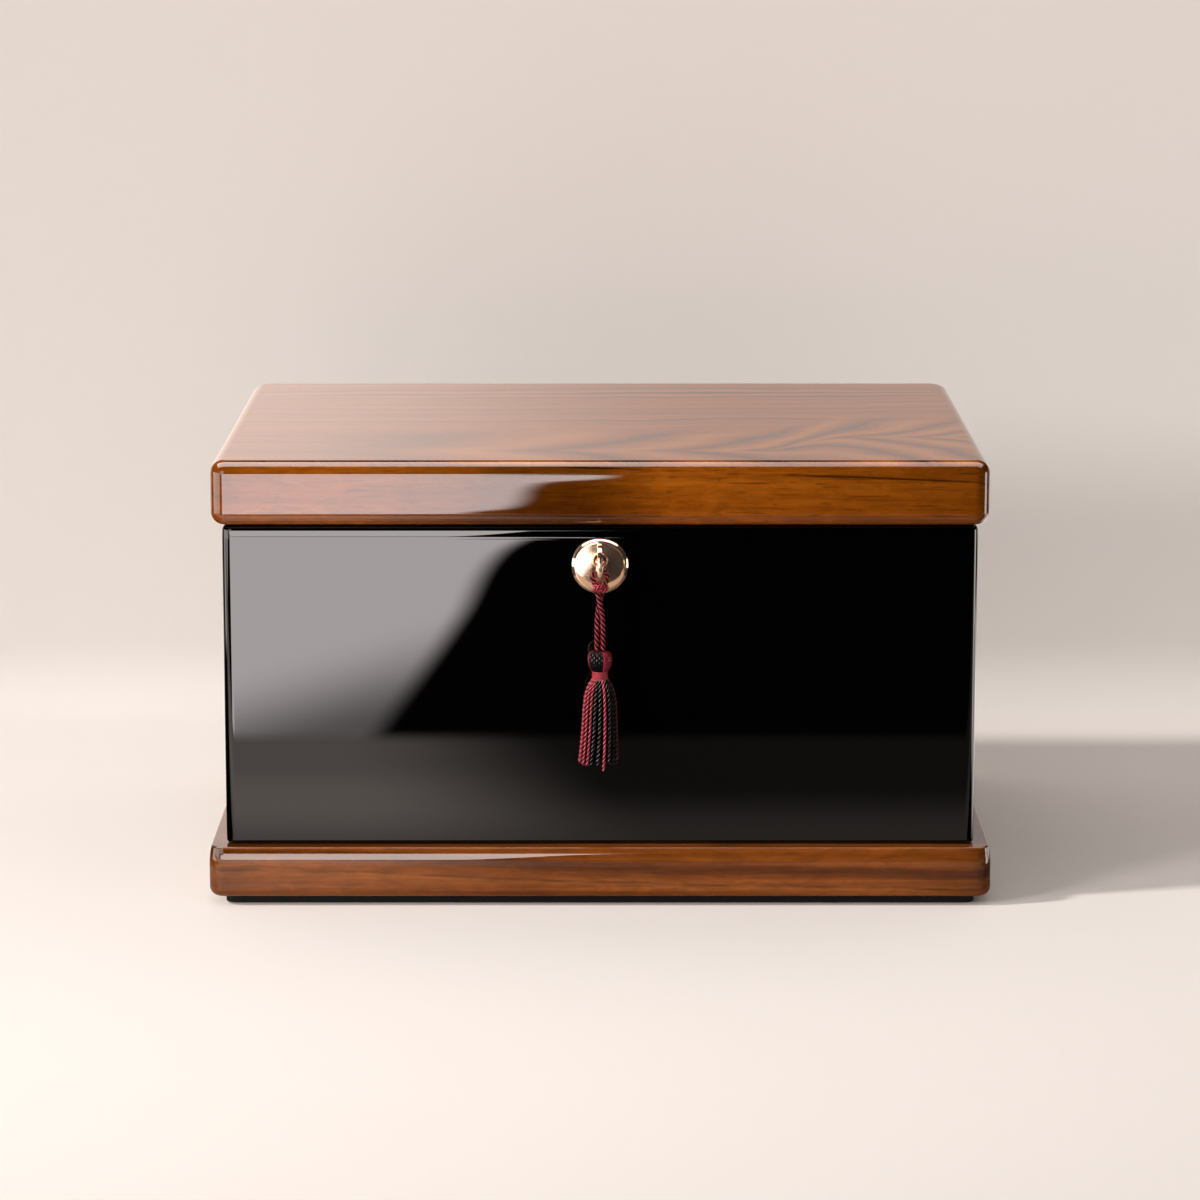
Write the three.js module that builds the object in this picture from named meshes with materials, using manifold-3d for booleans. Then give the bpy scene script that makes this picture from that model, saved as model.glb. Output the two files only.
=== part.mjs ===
// Cremation urn chest: a lacquered box between two rounded walnut boards, with a lock, key and tassel.
// Millimetres, +Z up, +X to the right, the front facing -Y. The origin is the centre of the underside.

import * as THREE from "three";
import { mergeVertices } from "three/addons/utils/BufferGeometryUtils.js";
import Module from "manifold-3d";

// Boards and box
const LID = { width: 300, depth: 225, thickness: 25, corner: 6, edge: 5 };
const BODY = { width: 292, depth: 217, thickness: 126.5, corner: 4, edge: 2.5 };
const PLINTH = { width: 305, depth: 230, thickness: 20, corner: 6, edge: 3.5 };
const PAD = { inset: 6, thickness: 3.5, corner: 4 };
const WALL = 11;
const FLOOR = 10;
const LID_STEP = { height: 3, clearance: 0.75 };

// Levels from the ground up
const PLINTH_Z = PAD.thickness;
const BODY_Z = PLINTH_Z + PLINTH.thickness;
const LID_Z = BODY_Z + BODY.thickness;
const FRONT_Y = -BODY.depth / 2;

// Lock plate, on the front face
const PLATE = { radius: 10.9, z: 134.1, rim: 1.6, shoulder: 2.0, crown: 2.6 };
const COLLAR = { outer: 3.05, inner: 2.35, z: 136.6, reach: 3.5 };
const KEYHOLE = { slotWidth: 2.2, slotDrop: 5.2 };
const WELL_DEPTH = 8;

// Key, its bow standing in the YZ plane
const STEM = { radius: 1.8, inside: 7 };
const BOW = { halfDepth: 5.4, halfHeight: 7.05, rim: 2.4, thickness: 3, standOff: 1.1 };
const BOW_CHAMFER = { across: 0.6, along: 1 };
const BIT = { width: 1.6, drop: 4.2, length: 3.4 };
const BOW_Y = FRONT_Y - COLLAR.reach - BOW.standOff - BOW.halfDepth;

// Tassel, hanging from the bow
const CORD = { diameter: 2, sides: 8, steps: 60 };
const GAP = 0.3;
const KNOT = { inner: 2.7, outer: 3.4, bottom: 125.4, top: 128.1 };
const HEAD = { top: 102.4, bottom: 94.7, crown: 2.9, shoulder: 4.3, belly: 4.6, foot: 3.3 };
const NECK = { top: HEAD.bottom - GAP, bottom: 91.1, radius: 3.2, swell: 0.12 };
const SKIRT = { top: NECK.bottom - GAP, bottom: 56.2, neck: 3.3, hem: 7.55, flare: 0.28, strands: 18 };
const FLUTE_DEPTH = 0.55;

// Half of the cord's loop: x, y from the tassel's axis, and z, from the head up to the bow
const CORD_LEG = [
  [-1.15, 0.0, HEAD.top + GAP],
  [-1.15, 0.0, 106.2],
  [-1.15, 0.06, 110.0],
  [-1.06, 0.45, 114.0],
  [-0.75, 0.87, 117.5],
  [-0.25, 1.13, 120.2],
  [0.3, 1.12, 122.6],
  [0.8, 0.83, 124.8],
  [1.14, 0.28, 126.8],
  [1.4, 0.03, 128.0],
  [2.25, 0.0, 129.2],
  [2.82, 0.0, 130.5],
  [2.86, 0.0, 131.8],
  [2.25, 0.0, 132.9],
  [1.2, 0.0, 133.5],
];
const CORD_APEX_Z = 133.7;

// Finishes
const WALNUT = { color: 0x7a3d12, roughness: 0.12, metalness: 0 };
const BLACK_LACQUER = { color: 0x050505, roughness: 0.06, metalness: 0 };
const FELT = { color: 0x1a1412, roughness: 0.95, metalness: 0 };
const ROSE_GOLD = { color: 0xe0ae8c, roughness: 0.12, metalness: 1 };
const BURGUNDY_SILK = { color: 0x7d1f30, roughness: 0.5, metalness: 0 };

const wasm = await Module();
wasm.setup();

// A closed geometry as a solid, with shared corners merged and slivers at the poles dropped
function solid(geometry) {
  const bare = geometry.clone();
  bare.deleteAttribute("normal");
  bare.deleteAttribute("uv");
  const merged = mergeVertices(bare);
  const index = Array.from(merged.index.array);
  const kept = [];
  for (let i = 0; i < index.length; i += 3) {
    const [a, b, c] = index.slice(i, i + 3);
    if (a !== b && b !== c && c !== a) kept.push(a, b, c);
  }
  return new wasm.Manifold(new wasm.Mesh({
    numProp: 3,
    vertProperties: new Float32Array(merged.attributes.position.array),
    triVerts: new Uint32Array(kept),
  }));
}

// The solid's surface as a geometry
function surface(body) {
  const mesh = body.getMesh();
  const geometry = new THREE.BufferGeometry();
  geometry.setAttribute("position", new THREE.BufferAttribute(new Float32Array(mesh.vertProperties), 3));
  geometry.setIndex(new THREE.BufferAttribute(new Uint32Array(mesh.triVerts), 1));
  geometry.computeVertexNormals();
  return geometry;
}

function roundedRectangle(width, depth, radius) {
  const x = width / 2 - radius;
  const y = depth / 2 - radius;
  const shape = new THREE.Shape();
  shape.absarc(x, y, radius, 0, Math.PI / 2);
  shape.absarc(-x, y, radius, Math.PI / 2, Math.PI);
  shape.absarc(-x, -y, radius, Math.PI, 1.5 * Math.PI);
  shape.absarc(x, -y, radius, 1.5 * Math.PI, 2 * Math.PI);
  return shape;
}

// A board lying on z = 0 with its upright corners and its long edges rounded over
function roundedBoard({ width, depth, thickness, corner, edge }) {
  const board = new THREE.ExtrudeGeometry(roundedRectangle(width, depth, corner), {
    depth: thickness - 2 * edge,
    bevelThickness: edge,
    bevelSize: edge,
    bevelOffset: -edge,
    bevelSegments: 5,
    curveSegments: 5,
  });
  return board.translate(0, 0, edge);
}

// A box standing on z = 0
function block(width, depth, height) {
  return new THREE.BoxGeometry(width, depth, height).translate(0, 0, height / 2);
}

// A turned form whose axis is +Z, from pairs of radius and height
function turned(profile, segments) {
  const points = profile.map(([radius, height]) => new THREE.Vector2(radius, height));
  return new THREE.LatheGeometry(points, segments).rotateX(Math.PI / 2);
}

// A smooth outline through a few pairs of radius and height
function smoothOutline(pairs, divisions) {
  const curve = new THREE.SplineCurve(pairs.map(([radius, height]) => new THREE.Vector2(radius, height)));
  return curve.getPoints(divisions).map((point) => [point.x, point.y]);
}

// A turned form turned again so that its axis points out of the front face
function facingFront(geometry) {
  return geometry.rotateX(Math.PI / 2);
}

function lidGeometry() {
  const overlap = 1;
  const play = 2 * (WALL + LID_STEP.clearance);
  const step = block(BODY.width - play, BODY.depth - play, LID_STEP.height + overlap);
  step.translate(0, 0, -LID_STEP.height);
  return surface(solid(roundedBoard(LID)).add(solid(step)));
}

// A keyhole: a round top with a slot below it, cut from the front plane back into y
function keyholeCutter(depth, ahead) {
  const length = depth + ahead;
  const round = new THREE.CylinderGeometry(COLLAR.inner, COLLAR.inner, length, 24);
  const slot = new THREE.BoxGeometry(KEYHOLE.slotWidth, length, KEYHOLE.slotDrop);
  slot.translate(0, 0, -KEYHOLE.slotDrop / 2);
  const middle = FRONT_Y + (depth - ahead) / 2;
  return solid(round).add(solid(slot)).translate([0, middle, COLLAR.z]);
}

function bodyGeometry() {
  const above = 5;
  const hollow = block(BODY.width - 2 * WALL, BODY.depth - 2 * WALL, BODY.thickness - FLOOR + above);
  hollow.translate(0, 0, FLOOR);
  const box = solid(roundedBoard(BODY)).subtract(solid(hollow)).translate([0, 0, BODY_Z]);
  return surface(box.subtract(keyholeCutter(WELL_DEPTH, 1)));
}

function padGeometry() {
  const width = PLINTH.width - 2 * PAD.inset;
  const depth = PLINTH.depth - 2 * PAD.inset;
  return new THREE.ExtrudeGeometry(roundedRectangle(width, depth, PAD.corner), {
    depth: PAD.thickness,
    bevelEnabled: false,
    curveSegments: 6,
  });
}

// Lock plate: a shallow crown falling over a rounded rim, a raised collar, and the keyhole through both
function escutcheonGeometry() {
  const outline = [[0, 0], [PLATE.radius, 0]];
  const rimSteps = 5;
  for (let i = 1; i <= rimSteps; i += 1) {
    const angle = (i / rimSteps) * Math.PI / 2;
    outline.push([PLATE.radius - PLATE.rim * (1 - Math.cos(angle)), PLATE.shoulder * Math.sin(angle)]);
  }
  outline.push([PLATE.radius / 2, PLATE.crown - (PLATE.crown - PLATE.shoulder) / 4], [0, PLATE.crown]);
  const plate = solid(facingFront(turned(outline, 48))).translate([0, FRONT_Y, PLATE.z]);
  const ring = [[0, 0.5], [COLLAR.outer, 0.5], [COLLAR.outer, COLLAR.reach], [0, COLLAR.reach]];
  const collar = solid(facingFront(turned(ring, 32))).translate([0, FRONT_Y, COLLAR.z]);
  return surface(plate.add(collar).subtract(keyholeCutter(1, COLLAR.reach + 1)));
}

// Key: an oval bow with a chamfered edge, a round stem and a small bit hanging from its tip
function keyGeometry() {
  const bow = new THREE.Shape();
  bow.absellipse(0, 0, BOW.halfDepth, BOW.halfHeight, 0, 2 * Math.PI);
  const eye = new THREE.Path();
  eye.absellipse(0, 0, BOW.halfDepth - BOW.rim, BOW.halfHeight - BOW.rim, 0, 2 * Math.PI);
  bow.holes.push(eye);
  const plate = new THREE.ExtrudeGeometry(bow, {
    depth: BOW.thickness - 2 * BOW_CHAMFER.across,
    bevelThickness: BOW_CHAMFER.across,
    bevelSize: BOW_CHAMFER.along,
    bevelOffset: -BOW_CHAMFER.along,
    bevelSegments: 3,
    curveSegments: 16,
  });
  plate.translate(0, 0, BOW_CHAMFER.across - BOW.thickness / 2);
  const upright = new THREE.Matrix4().makeBasis(
    new THREE.Vector3(0, 1, 0),
    new THREE.Vector3(0, 0, 1),
    new THREE.Vector3(1, 0, 0),
  );
  plate.applyMatrix4(upright).translate(0, BOW_Y, COLLAR.z);
  const stemFront = BOW_Y + BOW.halfDepth - BOW.rim / 2;
  const stemBack = FRONT_Y + STEM.inside;
  const stem = new THREE.CylinderGeometry(STEM.radius, STEM.radius, stemBack - stemFront, 24);
  stem.translate(0, (stemFront + stemBack) / 2, COLLAR.z);
  const bit = new THREE.BoxGeometry(BIT.width, BIT.length, BIT.drop);
  bit.translate(0, stemBack - BIT.length / 2, COLLAR.z - BIT.drop / 2);
  return surface(solid(plate).add(solid(stem)).add(solid(bit)));
}

// The cord's loop: up one leg, over the bow's lower rim and down the other, half a turn round each other
function cordGeometry() {
  const up = CORD_LEG.map(([x, y, z]) => new THREE.Vector3(x, BOW_Y + y, z));
  const down = CORD_LEG.map(([x, y, z]) => new THREE.Vector3(-x, BOW_Y - y, z)).reverse();
  const route = new THREE.CatmullRomCurve3([...up, new THREE.Vector3(0, BOW_Y, CORD_APEX_Z), ...down]);
  const section = new THREE.Shape();
  for (let i = 0; i < CORD.sides; i += 1) {
    const angle = (i / CORD.sides) * 2 * Math.PI;
    const x = (CORD.diameter / 2) * Math.cos(angle);
    const y = (CORD.diameter / 2) * Math.sin(angle);
    if (i === 0) section.moveTo(x, y);
    else section.lineTo(x, y);
  }
  section.closePath();
  return new THREE.ExtrudeGeometry(section, { steps: CORD.steps, extrudePath: route, curveSegments: 1 });
}

function knotGeometry() {
  const middle = (KNOT.bottom + KNOT.top) / 2;
  const half = (KNOT.top - KNOT.bottom) / 2;
  const wall = KNOT.outer - KNOT.inner;
  const outline = [[KNOT.inner, KNOT.bottom]];
  const arcSteps = 6;
  for (let i = 0; i <= arcSteps; i += 1) {
    const angle = (i / arcSteps - 0.5) * Math.PI;
    outline.push([KNOT.inner + wall * (0.4 + 0.6 * Math.cos(angle)), middle + half * Math.sin(angle)]);
  }
  outline.push([KNOT.inner, KNOT.top], [KNOT.inner, KNOT.bottom]);
  return turned(outline, 24);
}

function headGeometry() {
  const height = HEAD.top - HEAD.bottom;
  const outline = smoothOutline([
    [HEAD.foot, HEAD.bottom],
    [HEAD.belly * 0.93, HEAD.bottom + height * 0.28],
    [HEAD.belly, HEAD.bottom + height * 0.55],
    [HEAD.shoulder, HEAD.bottom + height * 0.84],
    [HEAD.crown, HEAD.top],
  ], 12);
  return turned([[0, HEAD.bottom], ...outline, [0, HEAD.top]], 28);
}

function neckGeometry() {
  const outline = smoothOutline([
    [NECK.radius, NECK.bottom],
    [NECK.radius + NECK.swell, (NECK.bottom + NECK.top) / 2],
    [NECK.radius, NECK.top],
  ], 6);
  return turned([[0, NECK.bottom], ...outline, [0, NECK.top]], 28);
}

// Skirt: a bell of strands, ribbed once for each outer strand, closed by a flat top and hem
function skirtGeometry() {
  const rings = 8;
  const around = SKIRT.strands * 4;
  const positions = [0, BOW_Y, SKIRT.top];
  for (let ring = 0; ring <= rings; ring += 1) {
    const fall = (ring / rings) ** 2;
    const radius = SKIRT.neck + (SKIRT.hem - SKIRT.neck) * fall ** SKIRT.flare;
    const height = SKIRT.top + (SKIRT.bottom - SKIRT.top) * fall;
    for (let i = 0; i < around; i += 1) {
      const angle = (i / around) * 2 * Math.PI;
      const rib = Math.abs(Math.sin((angle * SKIRT.strands) / 2)) - 1;
      const reach = radius + FLUTE_DEPTH * rib;
      positions.push(reach * Math.cos(angle), BOW_Y + reach * Math.sin(angle), height);
    }
  }
  const hemCentre = positions.length / 3;
  positions.push(0, BOW_Y, SKIRT.bottom);
  const corner = (ring, i) => 1 + ring * around + (i % around);
  const faces = [];
  for (let i = 0; i < around; i += 1) {
    faces.push(0, corner(0, i), corner(0, i + 1));
    for (let ring = 0; ring < rings; ring += 1) {
      faces.push(corner(ring, i), corner(ring + 1, i), corner(ring + 1, i + 1));
      faces.push(corner(ring, i), corner(ring + 1, i + 1), corner(ring, i + 1));
    }
    faces.push(hemCentre, corner(rings, i + 1), corner(rings, i));
  }
  const geometry = new THREE.BufferGeometry();
  geometry.setAttribute("position", new THREE.Float32BufferAttribute(positions, 3));
  geometry.setIndex(faces);
  geometry.computeVertexNormals();
  return geometry;
}

const chest = new THREE.Group();

function place(name, geometry, finish, position = [0, 0, 0]) {
  const mesh = new THREE.Mesh(geometry, new THREE.MeshStandardMaterial(finish));
  mesh.name = name;
  mesh.position.set(...position);
  chest.add(mesh);
}

const TASSEL_AXIS = [0, BOW_Y, 0];
place("base_pad", padGeometry(), FELT);
place("plinth", roundedBoard(PLINTH), WALNUT, [0, 0, PLINTH_Z]);
place("chest_body", bodyGeometry(), BLACK_LACQUER);
place("lid", lidGeometry(), WALNUT, [0, 0, LID_Z]);
place("escutcheon", escutcheonGeometry(), ROSE_GOLD);
place("key", keyGeometry(), ROSE_GOLD);
place("tassel_cord", cordGeometry(), BURGUNDY_SILK);
place("tassel_knot", knotGeometry(), BURGUNDY_SILK, TASSEL_AXIS);
place("tassel_head", headGeometry(), BURGUNDY_SILK, TASSEL_AXIS);
place("tassel_neck", neckGeometry(), BURGUNDY_SILK, TASSEL_AXIS);
place("tassel_skirt", skirtGeometry(), BURGUNDY_SILK);

export default chest;
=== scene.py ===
import random
from math import copysign, cos, exp, hypot, pi, radians, sin, sqrt, tan

import bpy
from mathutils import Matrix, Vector


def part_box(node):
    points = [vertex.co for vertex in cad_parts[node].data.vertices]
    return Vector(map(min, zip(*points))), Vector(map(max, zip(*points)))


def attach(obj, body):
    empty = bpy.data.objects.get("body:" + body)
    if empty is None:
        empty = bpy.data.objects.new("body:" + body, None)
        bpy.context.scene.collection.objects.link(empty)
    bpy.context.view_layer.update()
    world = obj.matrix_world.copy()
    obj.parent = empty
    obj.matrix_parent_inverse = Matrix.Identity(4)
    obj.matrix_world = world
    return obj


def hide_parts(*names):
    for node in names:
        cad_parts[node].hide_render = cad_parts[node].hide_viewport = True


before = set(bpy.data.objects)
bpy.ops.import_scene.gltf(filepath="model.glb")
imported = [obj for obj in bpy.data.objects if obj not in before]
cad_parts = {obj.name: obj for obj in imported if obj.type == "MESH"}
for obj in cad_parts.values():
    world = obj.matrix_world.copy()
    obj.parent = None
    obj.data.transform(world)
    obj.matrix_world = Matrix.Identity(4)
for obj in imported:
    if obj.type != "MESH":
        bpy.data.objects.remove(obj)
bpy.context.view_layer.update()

SCENE = bpy.context.scene
MM = 0.001
TURN = 2 * pi

# Places that the frame gives
LID_LOW, LID_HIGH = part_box("lid")
BODY_LOW, BODY_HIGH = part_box("chest_body")
PLINTH_LOW, PLINTH_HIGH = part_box("plinth")
PAD_LOW, PAD_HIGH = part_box("base_pad")
PLATE_LOW, PLATE_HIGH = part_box("escutcheon")
KEY_LOW, KEY_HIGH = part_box("key")
HEAD_LOW, HEAD_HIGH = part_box("tassel_head")
NECK_LOW, NECK_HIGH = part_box("tassel_neck")
SKIRT_LOW, SKIRT_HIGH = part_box("tassel_skirt")
FRONT_Y = BODY_LOW.y
TASSEL_Y = (HEAD_LOW.y + HEAD_HIGH.y) / 2

# Boards and box
LID_CORNER, LID_REAR_CORNER, LID_EDGE = 6 * MM, 9 * MM, 5 * MM
BODY_CORNER, BODY_TOP_EDGE, BODY_FOOT_EDGE = 4 * MM, 2.6 * MM, 1.6 * MM
PLINTH_CORNER, PLINTH_TOP_EDGE, PLINTH_FOOT_EDGE = 6 * MM, 0.7 * MM, 3.5 * MM
# How far the faces lean back below their upper edges, in degrees, and over which run
BODY_LEAD, PLINTH_LEAD = (3.0, 3.5 * MM), (12.1, 7.37 * MM)
PAD_CORNER, PAD_EDGE = 4 * MM, 0.6 * MM
WALL, FLOOR, LID_CLEARANCE = 11 * MM, 10 * MM, 0.75 * MM
STEP_INSET = WALL + LID_CLEARANCE + LID_HIGH.x - BODY_HIGH.x
EASED = 0.5 * MM

# Lock plate and key
PLATE_RADIUS = (PLATE_HIGH.x - PLATE_LOW.x) / 2
PLATE_Z = (PLATE_LOW.z + PLATE_HIGH.z) / 2
KEY_Z = (KEY_LOW.z + KEY_HIGH.z) / 2
COLLAR_OUTER, COLLAR_INNER, COLLAR_REACH = 3.05 * MM, 2.35 * MM, 3.5 * MM
SLOT_WIDTH, SLOT_DROP, WELL_DEPTH = 2.2 * MM, 5.2 * MM, 8 * MM
STEM_RADIUS = 1.8 * MM
BOW_DEPTH, BOW_RIM = 5.4 * MM, 2.4 * MM
# The smallest radius of a turned form
POLE = 0.02 * MM

# The cord's route, as in the part: x, y from the tassel's axis and z, in millimetres, up one leg
CORD_LEG = [
    (-1.15, 0.0, 102.7), (-1.15, 0.0, 106.2), (-1.15, 0.06, 110.0), (-1.06, 0.45, 114.0),
    (-0.75, 0.87, 117.5), (-0.25, 1.13, 120.2), (0.3, 1.12, 122.6), (0.8, 0.83, 124.8),
    (1.14, 0.28, 126.8), (1.4, 0.03, 128.0), (2.25, 0.0, 129.2), (2.82, 0.0, 130.5),
    (2.86, 0.0, 131.8), (2.25, 0.0, 132.9), (1.2, 0.0, 133.5),
]
CORD_APEX = (0.0, 0.0, 133.7)
CORD_DIAMETER = 2 * MM

# Camera, fitted to the chest's edges
CAMERA_AIM = Vector((0, 0, 0.1))
CAMERA_DISTANCE = 1.7981
CAMERA_ELEVATION = radians(10.71)
CAMERA_LENS = 131.03


# Meshes

def new_object(name, data):
    """An object in the scene."""
    made = bpy.data.objects.new(name, data)
    SCENE.collection.objects.link(made)
    return made


def mesh_piece(name, points, faces=(), edges=(), normals=None):
    """A smooth-shaded mesh object, with its own normals where known."""
    mesh = bpy.data.meshes.new(name)
    mesh.from_pydata(points, edges, faces)
    mesh.polygons.foreach_set("use_smooth", [True] * len(faces))
    if normals:
        mesh.normals_split_custom_set_from_vertices(normals)
    return new_object(name, mesh)


def settle(piece):
    """Makes a piece's modifiers part of its mesh."""
    graph = bpy.context.evaluated_depsgraph_get()
    made = bpy.data.meshes.new_from_object(piece.evaluated_get(graph), depsgraph=graph)
    made.name = piece.name
    piece.modifiers.clear()
    piece.data = made
    return piece


def even_shading(piece):
    """Flat faces stay flat and rounded ones round."""
    piece.data.polygons.foreach_set("use_smooth", [True] * len(piece.data.polygons))
    piece.data.set_sharp_from_angle(angle=radians(40))
    even = piece.modifiers.new("even_normals", "WEIGHTED_NORMAL")
    even.weight = 80
    even.keep_sharp = True
    settle(piece)


def combine(piece, tool, operation):
    """Joins a tool to a piece, or cuts it away, and removes the tool."""
    step = piece.modifiers.new("combine", "BOOLEAN")
    step.operation = operation
    step.solver = "EXACT"
    step.object = tool
    settle(piece)
    bpy.data.objects.remove(tool)
    return piece


def cut_flat(piece, tool):
    """Cuts a hole into a flat face and keeps the shell's other normals."""
    def place_of(mesh, loop):
        return mesh.vertices[mesh.loops[loop].vertex_index].co.to_tuple(6)

    shell = piece.data
    known = {}
    for index, normal in enumerate(shell.corner_normals):
        known[place_of(shell, index)] = normal.vector.copy()
    combine(piece, tool, "DIFFERENCE")
    mesh = piece.data
    normals = [None] * len(mesh.loops)
    for face in mesh.polygons:
        for index in face.loop_indices:
            normals[index] = known.get(place_of(mesh, index), face.normal)
    mesh.normals_split_custom_set(normals)


def ring_faces(rows, count, closed=False):
    """Faces between rings, with both ends capped unless the rings close on themselves."""
    faces = []
    for row in range(rows if closed else rows - 1):
        after = (row + 1) % rows
        for i in range(count):
            j = (i + 1) % count
            faces.append((row * count + i, row * count + j, after * count + j, after * count + i))
    if not closed:
        faces.append(tuple(reversed(range(count))))
        faces.append(tuple(range((rows - 1) * count, rows * count)))
    return faces


def edge_curve(inset, height, radius, start, stop, steps=10):
    """Profile of a rounded edge about its centre between two tilts, hollow where the radius is negative."""
    tilts = [radians(start + (stop - start) * i / steps) for i in range(steps + 1)]
    return [(inset - radius * cos(a), height + radius * sin(a), a) for a in tilts]


def pillow_edge(top, radius, lead_degrees, lead_run):
    """Profile of an upper edge whose face leans back over a short run before it turns over."""
    lead = radians(lead_degrees)
    lead_radius = lead_run / lead
    inset = lead_radius * (1 - cos(lead)) + radius * cos(lead)
    lead_height = top - radius + (radius - lead_radius) * sin(lead)
    return [
        *edge_curve(lead_radius, lead_height, lead_radius, 0, lead_degrees, 5),
        *edge_curve(inset, top - radius, radius, lead_degrees, 90, 12)[1:],
    ]


def lofted_box(name, node, corner, profile, rear_corner=None):
    """A closed shell of rounded rectangles: each profile entry is an inset, a height and a tilt."""
    low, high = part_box(node)
    corner_steps = 12
    half = (high - low) / 2
    middle = (low + high) / 2
    points, normals = [], []
    for inset, height, tilt in profile:
        for quarter in range(4):
            radius = max((rear_corner or corner if quarter < 2 else corner) - inset, 0.3 * MM)
            side_x = middle.x + (1, -1, -1, 1)[quarter] * (half.x - inset - radius)
            side_y = middle.y + (1, 1, -1, -1)[quarter] * (half.y - inset - radius)
            for step in range(corner_steps + 1):
                angle = (quarter + step / corner_steps) * TURN / 4
                out_x, out_y = cos(angle), sin(angle)
                points.append((side_x + radius * out_x, side_y + radius * out_y, height))
                normals.append((out_x * cos(tilt), out_y * cos(tilt), sin(tilt)))
    return mesh_piece(name, points, ring_faces(len(profile), 4 * (corner_steps + 1)), normals=normals)


def turned(name, outline, segments):
    """A closed turned form about the Y axis, from pairs of radius and reach to the front at each angle."""
    angles = [TURN * i / segments for i in range(segments)]
    outlines = [outline(angle) if callable(outline) else outline for angle in angles]
    levels = len(outlines[0])
    points = []
    for level in range(levels):
        for angle, pairs in zip(angles, outlines):
            radius, reach = pairs[level]
            points.append((radius * cos(angle), -reach, radius * sin(angle)))
    return mesh_piece(name, points, ring_faces(levels, segments))


def between(stations, place):
    """The eased value at a place along stations of place and value."""
    for (low, first), (high, last) in zip(stations, stations[1:]):
        if place <= high:
            t = max(0.0, (place - low) / (high - low))
            return first + (last - first) * (t * t * (3 - 2 * t) * 0.35 + t * 0.65)
    return stations[-1][1]


def block(name, low, high):
    """A plain box between two corners, used only to join or cut."""
    x, y, z = zip(low, high)
    corners = [(a, b, c) for c in z for b in y for a in x]
    faces = [(0, 2, 3, 1), (4, 5, 7, 6), (0, 1, 5, 4), (2, 6, 7, 3), (0, 4, 6, 2), (1, 3, 7, 5)]
    return mesh_piece(name, corners, faces)


def move(piece, y=0.0, z=0.0):
    """Shifts a piece's points, leaving its object at the origin."""
    for vertex in piece.data.vertices:
        vertex.co += Vector((0, y, z))
    return piece


# Node trees

class Field:
    """A node's output to calculate with: each sum or product adds a node."""

    def __init__(self, socket):
        self.socket = socket
        self.tree = socket.id_data

    def __add__(self, other):
        return calculate("ADD", self, other)

    def __sub__(self, other):
        return calculate("SUBTRACT", self, other)

    def __mul__(self, other):
        return calculate("MULTIPLY", self, other)

    def __truediv__(self, other):
        return calculate("DIVIDE", self, other)


def feed(node, values):
    """Sets a node's inputs, or links them where the value is a field."""
    for key, value in values.items():
        if isinstance(value, Field):
            value.tree.links.new(value.socket, node.inputs[key])
        else:
            node.inputs[key].default_value = value


def add(tree, kind, values=None, **settings):
    """A node with its settings and inputs; a kind without a family is a shader node."""
    node = tree.nodes.new(kind if "Node" in kind else "ShaderNode" + kind)
    for key, value in settings.items():
        setattr(node, key, value)
    feed(node, values or {})
    return node


def field(tree, kind, values=None, output=0, **settings):
    """One output of a new node."""
    return Field(add(tree, kind, values, **settings).outputs[output])


def tree_of(values):
    return next(value.tree for value in values if isinstance(value, Field))


def calculate(operation, *values):
    return field(tree_of(values), "Math", dict(enumerate(values)), operation=operation)


def vector_math(operation, *values):
    return field(tree_of(values), "VectorMath", dict(enumerate(values)), operation=operation)


def split(vector):
    """The three parts of a vector."""
    return [Field(part) for part in add(vector.tree, "SeparateXYZ", {0: vector}).outputs]


def blend_colour(share, first, second, mode="MIX"):
    values = {"Factor": share, 6: first, 7: second}
    tree = tree_of((share, first, second))
    return field(tree, "Mix", values, 2, data_type="RGBA", blend_type=mode)


def ramp(value, stops):
    """A colour ramp with the given places and colours."""
    made = add(value.tree, "ValToRGB", {"Fac": value})
    made.color_ramp.interpolation = "B_SPLINE"
    elements = made.color_ramp.elements
    while len(elements) < len(stops):
        elements.new(0.5)
    for element, (place, colour) in zip(elements, stops):
        element.position = place
        element.color = (*colour, 1)
    return Field(made.outputs["Color"])


def noise(vector, stretch=None, detail=2.0, roughness=0.5, distortion=0.0):
    """Soft noise, with its own scale along each axis."""
    place = vector_math("MULTIPLY", vector, stretch) if stretch else vector
    values = dict(Vector=place, Scale=1.0, Detail=detail, Roughness=roughness, Distortion=distortion)
    return field(vector.tree, "TexNoise", values, "Fac")


def growth_line(place):
    """Uneven bands along a distance."""
    values = {"W": place, "Scale": 1.0, "Detail": 3.0, "Roughness": 0.6}
    return field(place.tree, "TexNoise", values, "Fac", noise_dimensions="1D")


def span(value, low, high, new_low=0.0, new_high=1.0, ends="SMOOTHSTEP"):
    """Maps a range to another, clamped, with smooth ends unless told otherwise."""
    values = {"Value": value, "From Min": low, "From Max": high, "To Min": new_low, "To Max": new_high}
    return field(value.tree, "MapRange", values, "Result", interpolation_type=ends)


def curve(value, points):
    """A smooth curve through pairs of place and value, each between 0 and 1."""
    made = add(value.tree, "FloatCurve", {"Value": value})
    line = made.mapping.curves[0]
    while len(line.points) < len(points):
        line.points.new(0.5, 0.5)
    for point, place in zip(line.points, points):
        point.location = place
        point.handle_type = "AUTO_CLAMPED"
    made.mapping.update()
    return Field(made.outputs["Value"])


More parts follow.
